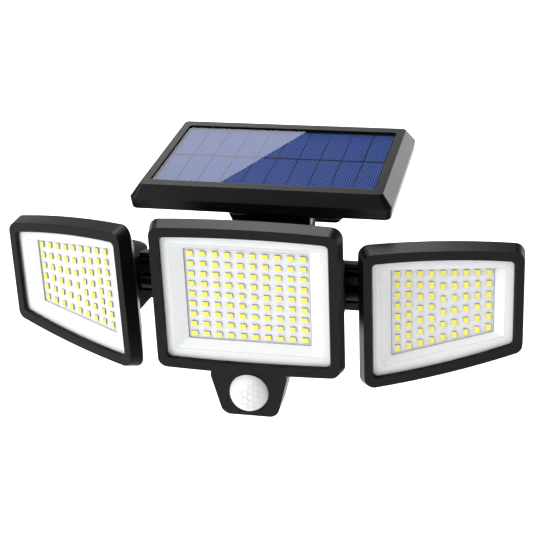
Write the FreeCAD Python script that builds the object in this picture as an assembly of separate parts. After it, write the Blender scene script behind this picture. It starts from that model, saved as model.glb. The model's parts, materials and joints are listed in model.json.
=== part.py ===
import FreeCAD, Part
import math
import os

# Solar security light: a solar panel on a wall bracket, a centre lamp head with a motion
# sensor below it, and two side heads on swivelling arms.
# Millimetres. Origin: centre of the wall plate's back face. Front is -Y, up is +Z.

V = FreeCAD.Vector
X_AXIS, Y_AXIS, Z_AXIS = V(1, 0, 0), V(0, 1, 0), V(0, 0, 1)
os.makedirs("parts", exist_ok=True)

# ---------------------------------------------------------------- fits and clearances
RUN = 0.05              # radial running fit of a pin or shaft
SEAT = 0.1              # gap round a plate that drops into its pocket
FACE = 0.3              # gap between faces that slide past each other
PLAY = 0.5              # side play between hinge cheeks and knuckles

# ---------------------------------------------------------------- rest pose (degrees)
HEAD_TILT = 10.52       # centre head faces down
PANEL_TILT = 11.56      # panel's front edge is lower
SIDE_PAN = {"left": 23.2, "right": 10.6}        # outwards
SIDE_TILT = {"left": -6.8, "right": -4.6}       # against the centre head, minus leans back
SIDE_TWIST = {"left": -7.4, "right": 0.0}       # about the head's own normal

# ---------------------------------------------------------------- wall bracket
PLATE_W, PLATE_H, PLATE_T, PLATE_R = 58.0, 42.0, 4.0, 5.0
HOLE_PITCH_X, HOLE_PITCH_Z, HOLE_R = 44.0, 28.0, 2.25
BEAM_W, BEAM_BOTTOM, BEAM_TOP, BEAM_FRONT = 34.0, -12.0, 5.0, 58.5
BEAM_WALL, BEAM_END = 3.0, 12.0                 # thickness, and solid end for the screws
CROSS_BAR_FRONT = 62.5
PANEL_AXIS_OUT, PANEL_AXIS_UP = 70.0, -3.0      # panel hinge from the wall and the origin
HEAD_AXIS_OUT, HEAD_AXIS_UP = 54.5, -22.2       # centre head hinge
HINGE_R, HINGE_PIN_R = 7.0, 2.5
PANEL_LUG_HALF, PANEL_EAR_T = 16.5, 5.0
HEAD_LUG_HALF, HEAD_EAR_T = 12.0, 7.5
BRACKET_SCREW_X, BRACKET_SCREW_Z = 11.0, 4.5    # screws of plate to beam, from beam centre
BOLT_HEAD_R, BOLT_HEAD_T = 4.4, 2.4
NUT_R, NUT_T = 4.6, 3.2

# ---------------------------------------------------------------- lamp heads
FRONT = 7.7             # front face ahead of the LED plane
GIRDLE_BACK = 0.3       # back of the bezel frame, behind the LED plane
HEAD_BACK = 14.0        # back face, behind the LED plane
SHELL_SLOPE = 11.0      # how far the rear shell draws in
HEAD_WALL = 2.0
POCKET = 3.0            # pocket for cover and reflector, wider than the window
LIP = 2.0               # thickness of the bezel's front lip
LIP_SLOPE = 0.75        # how far the lip draws in towards the cover
COVER_T = 1.6
REFLECTOR_T = 1.0
REFLECTOR_RIM = 4.2     # flat white rim inside the window
BOARD_T, LED_LONG, LED_SHORT, LED_T = 1.2, 3.5, 2.8, 1.2
REFLECTOR_GAP = 0.9     # reflector's inner edge ahead of the LED board
FRONT_R, GIRDLE_R, WINDOW_R = 5.5, 6.5, 3.0
POST_R = 3.0
SCREW_R, SCREW_HEAD_R, SCREW_HEAD_T = 0.9, 1.6, 1.0
SCREW_INSET = 4.4       # screw axis in from both girdle edges
SCREW_SEAT, SCREW_REACH = 0.9, 4.0      # seat of the heads behind the LED plane, shank length
COVER_SCREW_R, COVER_HEAD_R, COVER_HEAD_T = 1.05, 2.2, 1.5      # screws of both rear lids

# centre head: corners from lower left, counter-clockwise seen from the front
CENTRE_FRONT = [(-51.9, -43.1), (51.9, -43.1), (51.9, 42.2), (-51.9, 42.2)]
CENTRE_GIRDLE = [(-53.5, -45.0), (53.5, -45.0), (53.5, 44.4), (-53.5, 44.4)]
CENTRE_WINDOW = [(-46.9, -37.5), (46.9, -37.5), (46.9, 36.8), (-46.9, 36.8)]
CENTRE_BOWS = (1.2, 0.9)        # outward bow of the upper and the lower edge
CENTRE_BOARD = [(-34.4, -27.2), (34.4, -27.2), (34.4, 27.2), (-34.4, 27.2)]
CENTRE_COLS, CENTRE_ROWS, CENTRE_PITCH_X, CENTRE_PITCH_Z = 10, 9, 7.0, 6.15
SENSOR_TOP_HALF, SENSOR_BOTTOM_HALF, SENSOR_BOTTOM = 23.5, 15.6, -70.7
SENSOR_TOP, SENSOR_BACK, SENSOR_R = -40.0, 9.5, 6.0
PIR_Z, PIR_R, PIR_RISE, PIR_WALL = -55.7, 11.1, 9.6, 0.8

# side heads, right one: x outwards from the inner LED column, z up from the top LED row
SIDE_FRONT = [(-19.0, -66.3), (68.3, -44.6), (68.3, 14.1), (-19.0, 14.4)]
SIDE_GIRDLE = [(-21.5, -68.9), (69.7, -47.0), (69.7, 17.0), (-21.5, 18.0)]
SIDE_WINDOW = [(-14.6, -59.8), (63.7, -40.2), (63.7, 9.0), (-14.6, 9.0)]
SIDE_BOWS = (1.5, 1.6)
SIDE_BOARD = [(-2.9, -47.9), (52.7, -34.9), (52.7, 3.1), (-2.9, 3.1)]
SIDE_COLUMNS = [8, 8, 7, 7, 6, 6, 6, 6, 6]      # LEDs in each column, inner one first
SIDE_PITCH, SIDE_INNER_H, SIDE_OUTER_H = 6.28, 44.1, 32.4
FLANGE_X, FLANGE_Z = 21.06, -22.05              # twist axis on the side head

# ---------------------------------------------------------------- body behind the centre head
HEAD_AXIS_Y, HEAD_AXIS_Z = 86.0, -5.0           # hinge in the centre head's own frame
POD_HALF, POD_TOP, POD_BOTTOM, POD_BACK, POD_WALL = 45.5, 2.0, -36.0, 74.0, 2.5
POD_STEP_Y, POD_REAR_HALF = 50.0, 37.0          # narrower behind the step
POD_SHOULDER_Z, POD_SHOULDER_HALF = 12.0, 42.0
POD_SHOULDER_Y, POD_SLOPE_Y = 26.0, 40.0
POD_FOOT_R, POD_REAR_FOOT_R = 8.0, 4.0
POD_COVER_T = 3.0
CONTROL_W, CONTROL_D, CONTROL_T, CONTROL_Z = 66.0, 40.0, 1.6, -24.0
BUTTON_X, BUTTON_Y, BUTTON_R, BUTTON_TRAVEL = 22.0, 48.0, 5.0, 1.2
BUTTON_FLANGE_R, BUTTON_FLANGE_T, BUTTON_PROUD = 6.6, 1.2, 2.0

# ---------------------------------------------------------------- side arms
PAN_X, PAN_Y, TILT_Z, TILT_AHEAD = 93.0, 64.5, -17.0, 14.5
SIDE_LED_X, SIDE_LED_Y, SIDE_LED_Z = -21.06, -37.94, 22.05   # LED origin from the pan axis
ARM_FRONT, ARM_BACK = 57.0, 72.2
ARM_RIB_END, ARM_WEB_END, ARM_WEB_Y = 80.0, 83.2, 61.5      # ribs and web stop at the barrel
ARM_SLOPE_Y, ARM_SLOPE_DROP = 61.6, 5.0         # rear of the arm's top slopes down
FINS = [(-5.6, -3.8), (-8.6, -7.1), (-17.0, -11.7), (-27.4, -19.6), (-33.5, -28.7)]
FIN_DEPTH = [5.0, 4.0, 4.0, 1.2]                # depth of the slots between the fins
FIN_BULGE = 2.0         # crown of the fourth fin
EAR_R, PAN_PIN_R, BARREL_R = 12.0, 3.0, 9.0
BOSS_BOTTOM, BOSS_SLOPE_X, BOSS_SLOPE_END = -45.0, 75.0, 85.0
EAR_TOP, PAN_HEAD_T = -6.4, 1.2
CAP_R, CAP_LOW, CAP_RIM, CAP_CROWN = 15.0, -7.5, 1.4, 2.2
CHEEK_IN, CHEEK_OUT, TILT_R, TILT_PIN_R = 5.4, 9.2, 5.0, 2.0
FLANGE_R, FLANGE_T = 12.0, 3.4
FLANGE_SCREW_R, FLANGE_HEAD_R, FLANGE_HEAD_T = 2.6, 4.4, 1.6

# ---------------------------------------------------------------- solar panel
PANEL_TOP_HALF, PANEL_GIRDLE_HALF, PANEL_FOOT_HALF = (69.4, 50.7), (74.9, 54.5), (74.2, 53.8)
PANEL_TOP_R, PANEL_GIRDLE_R = 2.5, 4.0
PANEL_GIRDLE_Z, PANEL_DEPTH = -7.5, 14.2
PANEL_WINDOW_HALF = (64.65, 43.6)
PANEL_CAVITY_HALF = (67.0, 47.5)
PANEL_LIP, GLASS_T, CELL_T, BACKSHEET_T = 0.8, 1.2, 0.3, 1.0
CELL_COLS, CELL_ROWS, CELL_GAP, CELL_MARGIN = 10, 2, 0.7, 1.2
REAR_COVER_T = 2.0
PANEL_AXIS_Y, PANEL_AXIS_DROP = -12.2, 33.6     # hinge from the panel's top centre
BOX_LEFT, BOX_RIGHT, BOX_FRONT, BOX_BACK, BOX_DROP = -19.5, 46.4, -42.0, -23.6, 6.8
BOX_WALL = 1.4
SHROUD_LOW, SHROUD_TOP, SHROUD_T = (-23.0, 11.0), (-31.5, 19.0), 2.0     # left and right edges
CELL_CAN_R, CELL_CAN_L = 7.0, 50.0      # one 14500 cell


# ================================================================ helpers
def box(x0, x1, y0, y1, z0, z1):
    return Part.makeBox(x1 - x0, y1 - y0, z1 - z0, V(x0, y0, z0))


def cyl(x, y, z, direction, radius, length):
    return Part.makeCylinder(radius, length, V(x, y, z), direction)


def cyl_x(y, z, radius, x0, x1):
    return cyl(x0, y, z, X_AXIS, radius, x1 - x0)


def cyl_y(x, z, radius, y0, y1):
    return cyl(x, y0, z, Y_AXIS, radius, y1 - y0)


def cyl_z(x, y, radius, z0, z1):
    return cyl(x, y, z0, Z_AXIS, radius, z1 - z0)


def fuse(first, *others):
    return first.fuse(list(others)).removeSplitter()


def plate(points, to_vector, push):
    """Flat polygon pushed along a vector."""
    corners = [to_vector(*p) for p in points]
    return Part.Face(Part.makePolygon(corners + corners[:1])).extrude(push)


def inset(points, distance):
    """Corners of a convex, counter-clockwise outline, moved in by distance."""
    lines = []
    for i, (x0, z0) in enumerate(points):
        x1, z1 = points[(i + 1) % len(points)]
        length = math.hypot(x1 - x0, z1 - z0)
        nx, nz = -(z1 - z0) / length, (x1 - x0) / length
        lines.append((nx, nz, nx * x0 + nz * z0 + distance))
    moved = []
    for i, (a1, b1, c1) in enumerate(lines):
        a0, b0, c0 = lines[i - 1]
        det = a0 * b1 - a1 * b0
        moved.append(((c0 * b1 - c1 * b0) / det, (a0 * c1 - a1 * c0) / det))
    return moved


def outline(points, radius, y, bows=(0.0, 0.0)):
    """Closed wire in the plane y, with round corners and bowed upper and lower edges."""
    count = len(points)
    starts, ends, arcs = [], [], []
    for i, p in enumerate(points):
        before, after = points[i - 1], points[(i + 1) % count]
        corner = V(p[0], y, p[1])
        u = (V(before[0], y, before[1]) - corner).normalize()
        w = (V(after[0], y, after[1]) - corner).normalize()
        half = u.getAngle(w) / 2
        reach = radius / math.tan(half)
        middle = (u + w).normalize() * (radius / math.sin(half) - radius)
        starts.append(corner + u * reach)
        ends.append(corner + w * reach)
        arcs.append(Part.Arc(starts[-1], corner + middle, ends[-1]).toShape())
    edges = []
    for i in range(count):
        a, b = ends[i], starts[(i + 1) % count]
        edges.append(arcs[i])
        bow = {0: -bows[1], 2: bows[0]}.get(i, 0.0)
        if bow:
            edges.append(Part.Arc(a, (a + b) * 0.5 + V(0, 0, bow), b).toShape())
        else:
            edges.append(Part.LineSegment(a, b).toShape())
    return Part.Wire(edges)


def slab(points, radius, y0, y1, bows=(0.0, 0.0)):
    return Part.Face(outline(points, radius, y0, bows)).extrude(V(0, y1 - y0, 0))


def taper(points, radius, y0, far_points, far_radius, y1, bows=(0.0, 0.0)):
    wires = [outline(points, radius, y0, bows), outline(far_points, far_radius, y1, bows)]
    return Part.makeLoft(wires, True, True)


def mirrored(shape, side):
    """Built for the right side; the left one is its mirror image."""
    return shape.mirror(V(0, 0, 0), X_AXIS) if side == "left" else shape


def turn(shape, centre, axis, degrees):
    moved = shape.copy()
    moved.rotate(centre, axis, degrees)
    return moved


def shift(shape, vector):
    moved = shape.copy()
    moved.translate(vector)
    return moved


def group(solids):
    return Part.makeCompound(solids)


def export(name, shape):
    solids = shape.Solids
    assert solids and all(s.isValid() for s in solids), name
    whole = solids[0] if len(solids) == 1 else Part.makeCompound(solids)
    whole.exportStep("parts/" + name + ".step")
    print(name, len(solids), round(sum(s.Volume for s in solids), 1))


def pan_screw(x, z, seat, depth, head_side, shank_r, head_r, head_t):
    """Pan-head screw along Y: seat is the head's underside, head_side +1 lies behind it."""
    tip = seat - head_side * depth
    shank = cyl_y(x, z, shank_r, min(seat, tip), max(seat, tip))
    top = seat + head_side * head_t
    head = cyl_y(x, z, head_r, min(seat, top), max(seat, top))
    rim = [e for e in head.Edges if abs(e.CenterOfMass.y - top) < 1e-6]
    head = head.makeFillet(head_t * 0.45, rim)
    slot_half, slot_deep = head_r * 0.6, head_t * 0.55
    low, high = min(top - head_side * slot_deep, top), max(top - head_side * slot_deep, top)
    cross = box(x - slot_half, x + slot_half, low, high, z - 0.3, z + 0.3)
    cross = cross.fuse(box(x - 0.3, x + 0.3, low, high, z - slot_half, z + slot_half))
    return fuse(shank, head).cut(cross)


# ================================================================ lamp head, own frame
COVER_FRONT = -FRONT + LIP
COVER_BACK = COVER_FRONT + COVER_T
REFLECTOR_BACK = COVER_BACK + REFLECTOR_T
BOARD_FRONT = LED_T
BOARD_BACK = BOARD_FRONT + BOARD_T
POCKET_R = WINDOW_R + POCKET


def head_frame(front, girdle, window, bows):
    """Bezel: sides flare back to the girdle, window with a sloped lip, pocket behind it."""
    body = taper(front, FRONT_R, -FRONT, girdle, GIRDLE_R, GIRDLE_BACK, bows)
    narrow = inset(window, LIP_SLOPE)
    body = body.cut(taper(window, WINDOW_R, -FRONT, narrow, WINDOW_R - 0.5, COVER_FRONT, bows))
    pocket = inset(window, -POCKET)
    return body.cut(slab(pocket, POCKET_R, COVER_FRONT, GIRDLE_BACK, bows))


def bore_screws(body, girdle):
    for x, z in inset(girdle, SCREW_INSET):
        body = body.cut(cyl_y(x, z, SCREW_R + RUN, SCREW_SEAT - SCREW_REACH - 0.2, SCREW_SEAT))
        body = body.cut(cyl_y(x, z, SCREW_HEAD_R + FACE, SCREW_SEAT, HEAD_BACK + 1))
    return body


def head_shell(girdle, window, board_points, bows):
    """Rear shell: rim into the bezel's pocket, sloped sides, flat back, board posts."""
    back = inset(girdle, SHELL_SLOPE)
    outer = taper(girdle, GIRDLE_R, GIRDLE_BACK, back, GIRDLE_R - 1, HEAD_BACK, bows)
    rim_out = inset(window, -POCKET + SEAT)
    rim_in = inset(window, -POCKET + SEAT + HEAD_WALL)
    outer = fuse(outer, slab(rim_out, POCKET_R - SEAT, REFLECTOR_BACK, GIRDLE_BACK, bows))
    floor = HEAD_BACK - HEAD_WALL
    inner_back = inset(back, 0.6)
    cavity = taper(rim_in, 3.0, GIRDLE_BACK + 1.5, inner_back, 3.0, floor, bows)
    cavity = fuse(cavity, slab(rim_in, 3.0, REFLECTOR_BACK - 1, GIRDLE_BACK + 1.5, bows))
    shell = outer.cut(cavity)
    for x, z in inset(board_points, -0.4 * POST_R):
        shell = fuse(shell, cyl_y(x, z, POST_R, BOARD_BACK, floor))
    return shell


def head_internals(prefix, window, board_points, led_places, led_size, bows):
    """Clear cover, reflector, LED board and LEDs."""
    pocket = inset(window, -POCKET + SEAT)
    pocket_r = POCKET_R - SEAT
    parts = {"cover": slab(pocket, pocket_r, COVER_FRONT, COVER_BACK, bows)}
    rim_inner = inset(window, LIP_SLOPE + REFLECTOR_RIM)
    opening = inset(board_points, -0.4)
    flange = slab(pocket, pocket_r, COVER_BACK, REFLECTOR_BACK, bows)
    outside = [inset(rim_inner, -REFLECTOR_T), inset(opening, -REFLECTOR_T)]
    foot = BOARD_FRONT - REFLECTOR_GAP
    funnel = taper(outside[0], 2.6, COVER_BACK, outside[1], 1.4, foot)
    hole = taper(rim_inner, 2.0, COVER_BACK, opening, 0.8, foot)
    parts["reflector"] = fuse(flange, funnel).cut(hole)
    # the board reaches a little past the reflector's opening
    parts["led_board"] = slab(inset(board_points, -1.6), 1.5, BOARD_FRONT, BOARD_BACK)
    half_w, half_h = led_size[0] / 2, led_size[1] / 2
    parts["leds"] = group([box(x - half_w, x + half_w, 0, LED_T, z - half_h, z + half_h)
                           for x, z in led_places])
    return {prefix + "_" + key: shape for key, shape in parts.items()}


def head_screws(girdle):
    return group([pan_screw(x, z, SCREW_SEAT, SCREW_REACH, 1, SCREW_R, SCREW_HEAD_R, SCREW_HEAD_T)
                  for x, z in inset(girdle, SCREW_INSET)])


# ================================================================ centre head
def centre_leds():
    x0 = -CENTRE_PITCH_X * (CENTRE_COLS - 1) / 2
    z0 = -CENTRE_PITCH_Z * (CENTRE_ROWS - 1) / 2
    return [(x0 + CENTRE_PITCH_X * i, z0 + CENTRE_PITCH_Z * j)
            for i in range(CENTRE_COLS) for j in range(CENTRE_ROWS)]


def sensor_outline():
    return [(-SENSOR_BOTTOM_HALF, SENSOR_BOTTOM), (SENSOR_BOTTOM_HALF, SENSOR_BOTTOM),
            (SENSOR_TOP_HALF, SENSOR_TOP), (-SENSOR_TOP_HALF, SENSOR_TOP)]


def centre_head():
    nodes = head_internals("centre", CENTRE_WINDOW, CENTRE_BOARD, centre_leds(), (LED_LONG, LED_SHORT),
                           CENTRE_BOWS)
    frame = head_frame(CENTRE_FRONT, CENTRE_GIRDLE, CENTRE_WINDOW, CENTRE_BOWS)
    nose = slab(sensor_outline(), SENSOR_R, -FRONT, SENSOR_BACK)
    below = box(-60, 60, -FRONT, 20, SENSOR_BOTTOM - 5, CENTRE_FRONT[0][1] + 1.0)
    frame = fuse(frame, nose.common(below))
    # room for the lens and the sensor, open at the back
    y_room = -FRONT + HEAD_WALL
    frame = frame.cut(cyl_y(0, PIR_Z, PIR_R + SEAT, -FRONT - 1, y_room))
    frame = frame.cut(cyl_y(0, PIR_Z, PIR_R + 2.0, y_room, SENSOR_BACK))
    nodes["centre_frame"] = bore_screws(frame, CENTRE_GIRDLE)
    shell = head_shell(CENTRE_GIRDLE, CENTRE_WINDOW, CENTRE_BOARD, CENTRE_BOWS)
    notch = slab(inset(sensor_outline(), -FACE), SENSOR_R, -FRONT, SENSOR_BACK + FACE)
    shell = shell.cut(notch.common(box(-60, 60, -60, 60, SENSOR_BOTTOM, CENTRE_FRONT[0][1] + 1.0 + FACE)))
    nodes["centre_rear_shell"] = bore_screws(shell, CENTRE_GIRDLE)
    nodes["centre_screws"] = head_screws(CENTRE_GIRDLE)
    nodes.update(sensor_parts(y_room))
    return nodes


def dome(radius, rise, y_base):
    """Spherical cap that stands rise ahead of y_base."""
    ball_r = (radius ** 2 + rise ** 2) / (2 * rise)
    ball = Part.makeSphere(ball_r, V(0, y_base - rise + ball_r, PIR_Z))
    return ball.common(cyl_y(0, PIR_Z, radius + 5, y_base - rise - 1, y_base))


def sensor_parts(y_room):
    """Dome lens on a collar, the heat sensor and the plate that closes the housing."""
    lens = fuse(dome(PIR_R, PIR_RISE, -FRONT), cyl_y(0, PIR_Z, PIR_R, -FRONT, y_room),
                cyl_y(0, PIR_Z, PIR_R + 1.8, y_room, y_room + 1.0))
    hollow = dome(PIR_R - PIR_WALL, PIR_RISE - PIR_WALL, -FRONT)
    hollow = fuse(hollow, cyl_y(0, PIR_Z, PIR_R - PIR_WALL, -FRONT, y_room + 1.0))
    board = cyl_y(0, PIR_Z, PIR_R + 1.8, y_room + 1.0, y_room + 2.6)
    can = cyl_y(0, PIR_Z, 4.6, y_room - 2.6, y_room + 1.0)
    can = fuse(can, box(-2.0, 2.0, y_room - 2.9, y_room - 2.6, PIR_Z - 1.5, PIR_Z + 1.5))
    lid = slab(sensor_outline(), SENSOR_R, SENSOR_BACK, SENSOR_BACK + 1.6)
    lid = lid.common(box(-60, 60, -60, 60, SENSOR_BOTTOM - 5, CENTRE_GIRDLE[0][1] - FACE))
    plug = cyl_y(0, PIR_Z, PIR_R + 2.0 - SEAT, y_room + 2.6, SENSOR_BACK)
    lid = fuse(lid, plug.cut(cyl_y(0, PIR_Z, PIR_R, y_room, SENSOR_BACK)))
    return {"pir_lens": lens.cut(hollow), "pir_sensor": fuse(board, can), "sensor_rear_cover": lid}


def pod():
    """Body behind the centre head: sloped shoulder, narrower rear, open back."""
    front = HEAD_BACK
    outer = trough(POD_HALF, front, POD_STEP_Y, 0.0, POD_FOOT_R)
    ridge = [(-POD_HALF, POD_TOP), (POD_HALF, POD_TOP),
             (POD_SHOULDER_HALF, POD_SHOULDER_Z), (-POD_SHOULDER_HALF, POD_SHOULDER_Z)]
    shoulder = plate(ridge, lambda x, z: V(x, front, z), V(0, POD_SLOPE_Y - front, 0))
    wedge = plate([(POD_SHOULDER_Y, POD_SHOULDER_Z), (POD_SLOPE_Y, POD_SHOULDER_Z),
                   (POD_SLOPE_Y, POD_TOP)], lambda y, z: V(-60, y, z), V(120, 0, 0))
    rear = trough(POD_REAR_HALF, front, POD_BACK, 0.0, POD_REAR_FOOT_R)
    outer = fuse(outer, rear, shoulder.cut(wedge))
    wide = trough(POD_HALF, front + POD_WALL, POD_STEP_Y - POD_WALL, POD_WALL, POD_FOOT_R)
    narrow = trough(POD_REAR_HALF, front + POD_WALL, POD_BACK + 1, POD_WALL, POD_REAR_FOOT_R)
    body = outer.cut(wide.fuse(narrow))
    for x, z in pod_screw_places():
        post = cyl_y(x, z, 3.6, POD_BACK - 14, POD_BACK)
        body = fuse(body, post.common(outer))
        body = body.cut(cyl_y(x, z, COVER_SCREW_R + RUN, POD_BACK - 12, POD_BACK + 1))
    for side in (-1, 1):
        x0, x1 = sorted((side * (CONTROL_W / 2 - 4), side * (POD_HALF - 1)))
        ledge = box(x0, x1, front + 6, POD_STEP_Y - POD_WALL, POD_BOTTOM + POD_WALL, CONTROL_Z)
        body = fuse(body, ledge.common(outer))
    return body.cut(cyl_z(BUTTON_X, BUTTON_Y, BUTTON_R + FACE, POD_BOTTOM - 1, POD_BOTTOM + 4))


def trough(half, y0, y1, wall, radius):
    """Block between two walls of the body, with its two long lower edges rounded."""
    low, reach = POD_BOTTOM + wall, half - wall
    block = box(-reach, reach, y0, y1, low, POD_TOP - wall)
    edges = [e for e in block.Edges if abs(e.CenterOfMass.z - low) < 1e-6
             and abs(abs(e.CenterOfMass.x) - reach) < 1e-6]
    return block.makeFillet(radius - wall, edges)


def pod_screw_places():
    x = POD_REAR_HALF - 6.0
    return [(side * x, z) for side in (-1, 1) for z in (POD_BOTTOM + 7.0, POD_TOP - 6.0)]


def pod_cover():
    """Back lid of the body, with the two ears of the wall hinge."""
    seat = POD_BACK + POD_COVER_T
    lid = trough(POD_REAR_HALF, POD_BACK, seat, 0.0, POD_REAR_FOOT_R)
    ear_r = HINGE_R - 0.8
    for side in (-1, 1):
        low = side * (HEAD_LUG_HALF + PLAY)
        x0, x1 = sorted((low, low + side * HEAD_EAR_T))
        ear = box(x0, x1, seat, HEAD_AXIS_Y, HEAD_AXIS_Z - ear_r - 4.0, HEAD_AXIS_Z + ear_r)
        lid = fuse(lid, ear, cyl_x(HEAD_AXIS_Y, HEAD_AXIS_Z, ear_r, x0, x1))
    lid = lid.cut(cyl_x(HEAD_AXIS_Y, HEAD_AXIS_Z, HINGE_PIN_R + RUN, -60, 60))
    for x, z in pod_screw_places():
        lid = lid.cut(cyl_y(x, z, COVER_SCREW_R + RUN, POD_BACK - 1, seat + 1))
    return lid


def pod_screws():
    seat = POD_BACK + POD_COVER_T
    return group([pan_screw(x, z, seat, 13.0, 1, COVER_SCREW_R, COVER_HEAD_R, COVER_HEAD_T)
                  for x, z in pod_screw_places()])


def control_board():
    """Circuit board on the side ledges, with its parts and the switch over the button."""
    y0 = HEAD_BACK + 6.0
    top = CONTROL_Z + CONTROL_T
    board = box(-CONTROL_W / 2, CONTROL_W / 2, y0, y0 + CONTROL_D, CONTROL_Z, top)
    chips = [box(-20, -8, y0 + 8, y0 + 20, top, top + 1.6), box(0, 9, y0 + 6, y0 + 14, top, top + 1.4),
             cyl_z(-26, y0 + 24, 4.0, top, top + 9), cyl_z(18, y0 + 24, 3.0, top, top + 7),
             box(-8, 8, y0 + 30, y0 + 37, top, top + 6)]
    low = POD_BOTTOM + POD_WALL + BUTTON_FLANGE_T + BUTTON_TRAVEL + 2 * FACE
    switch = box(BUTTON_X - 3, BUTTON_X + 3, BUTTON_Y - 3, BUTTON_Y + 3, low + 1.0, CONTROL_Z)
    plunger = cyl_z(BUTTON_X, BUTTON_Y, 1.6, low, low + 1.0)
    return fuse(board, switch, plunger, *chips)


def mode_button():
    low = POD_BOTTOM - BUTTON_PROUD
    inner = POD_BOTTOM + POD_WALL
    stem = cyl_z(BUTTON_X, BUTTON_Y, BUTTON_R, low, inner)
    rim = [e for e in stem.Edges if abs(e.CenterOfMass.z - low) < 1e-6]
    stem = stem.makeFillet(0.8, rim)
    return fuse(stem, cyl_z(BUTTON_X, BUTTON_Y, BUTTON_FLANGE_R, inner + FACE, inner + FACE + BUTTON_FLANGE_T),
                cyl_z(BUTTON_X, BUTTON_Y, BUTTON_R, inner, inner + FACE))


# ================================================================ side arms (right side)
ARM_TOP, EAR_TOP_LOW = FINS[0][1], FINS[1][0]
EAR_FOOT_HIGH, EAR_FOOT_LOW = FINS[4][1], FINS[4][0]
CAP_CEILING = EAR_TOP + SEAT


def arm():
    """Ribbed bar from the body, forked round the pan barrel."""
    root = POD_REAR_HALF
    ribs = box(root, ARM_RIB_END, ARM_FRONT, ARM_BACK, EAR_FOOT_LOW, ARM_TOP)
    web = box(root, ARM_WEB_END, ARM_WEB_Y, ARM_BACK, EAR_FOOT_LOW, ARM_TOP)
    bars = box(root, PAN_X, ARM_FRONT, ARM_BACK, EAR_TOP_LOW, EAR_TOP)
    foot = box(root, PAN_X, ARM_FRONT, ARM_BACK, EAR_FOOT_LOW, EAR_FOOT_HIGH)
    top_ear = cyl_z(PAN_X, PAN_Y, EAR_R, EAR_TOP_LOW, EAR_TOP)
    foot_ear = cyl_z(PAN_X, PAN_Y, EAR_R, BOSS_BOTTOM, EAR_FOOT_HIGH)
    gusset = box(BOSS_SLOPE_X, PAN_X, ARM_FRONT, ARM_BACK, BOSS_BOTTOM, EAR_FOOT_LOW)
    body = fuse(ribs, web, bars, foot, top_ear, foot_ear, gusset)
    under = [(BOSS_SLOPE_X - 10, EAR_FOOT_LOW), (BOSS_SLOPE_X, EAR_FOOT_LOW),
             (BOSS_SLOPE_END, BOSS_BOTTOM), (BOSS_SLOPE_X - 10, BOSS_BOTTOM)]
    body = body.cut(plate(under, lambda x, z: V(x, 0, z), V(0, 120, 0)))
    body = body.cut(cyl_z(PAN_X, PAN_Y, CAP_R + SEAT, EAR_TOP, ARM_TOP + 1))
    behind = [(ARM_SLOPE_Y, ARM_TOP), (ARM_BACK + 1, ARM_TOP - ARM_SLOPE_DROP), (ARM_BACK + 1, ARM_TOP)]
    body = body.cut(plate(behind, lambda y, z: V(root, y, z), V(ARM_RIB_END - root, 0, 0)))
    # the uppermost slot stops at the cap, the others run through under it
    slot_ends = [PAN_X - CAP_R] + [PAN_X + EAR_R] * 3
    for (low, _), (_, high), deep, end in zip(FINS[:-1], FINS[1:], FIN_DEPTH, slot_ends):
        body = body.cut(box(root - 1, end, ARM_FRONT - 20, ARM_FRONT + deep, high, low))
    low, high = FINS[3]
    a, b = V(root, ARM_FRONT, low), V(root, ARM_FRONT, high)
    crown = Part.Arc(a, V(root, ARM_FRONT - FIN_BULGE, (low + high) / 2), b).toShape()
    face = Part.Face(Part.Wire([crown, Part.LineSegment(b, a).toShape()]))
    body = fuse(body, face.extrude(V(ARM_RIB_END - root, 0, 0)))
    body = body.cut(cyl_z(PAN_X, PAN_Y, PAN_PIN_R + RUN, BOSS_BOTTOM - 1, EAR_TOP + 1))
    return body.cut(hexagon_z(NUT_R + RUN, BOSS_BOTTOM - 1, BOSS_BOTTOM + NUT_T))


def hexagon_z(radius, z0, z1):
    corners = [(PAN_X + radius * math.cos(math.radians(60 * i)),
                PAN_Y + radius * math.sin(math.radians(60 * i))) for i in range(6)]
    return plate(corners, lambda x, y: V(x, y, z0), V(0, 0, z1 - z0))


def pivot_cap():
    """Crowned round cap that drops over the fork's upper ear and the bolt's head."""
    ball_r = (CAP_R ** 2 + CAP_CROWN ** 2) / (2 * CAP_CROWN)
    rim_top = CAP_LOW + CAP_RIM
    crown = Part.makeSphere(ball_r, V(PAN_X, PAN_Y, rim_top + CAP_CROWN - ball_r))
    crown = crown.common(cyl_z(PAN_X, PAN_Y, CAP_R, rim_top, rim_top + CAP_CROWN + 1))
    rim = cyl_z(PAN_X, PAN_Y, CAP_R, CAP_LOW, rim_top)
    rim = rim.makeChamfer(0.5, [e for e in rim.Edges if abs(e.CenterOfMass.z - CAP_LOW) < 1e-6])
    cap = fuse(rim, crown)
    cap = cap.cut(cyl_z(PAN_X, PAN_Y, EAR_R + SEAT, CAP_LOW - 1, CAP_CEILING))
    cap = cap.cut(cyl_z(PAN_X, PAN_Y, BOLT_HEAD_R + SEAT, CAP_LOW - 1, EAR_TOP + PAN_HEAD_T + SEAT))
    slot = box(PAN_X - 30, PAN_X, ARM_FRONT - SEAT, ARM_BACK + SEAT, CAP_LOW - 1, CAP_CEILING)
    return cap.cut(slot)


def pan_bolt():
    shank = cyl_z(PAN_X, PAN_Y, PAN_PIN_R, BOSS_BOTTOM, EAR_TOP)
    return fuse(shank, cyl_z(PAN_X, PAN_Y, BOLT_HEAD_R, EAR_TOP, EAR_TOP + PAN_HEAD_T))


def pan_nut():
    nut = hexagon_z(NUT_R, BOSS_BOTTOM, BOSS_BOTTOM + NUT_T)
    return nut.cut(cyl_z(PAN_X, PAN_Y, PAN_PIN_R + RUN, BOSS_BOTTOM - 1, BOSS_BOTTOM + NUT_T + 1))


TILT_Y = PAN_Y - TILT_AHEAD


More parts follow.
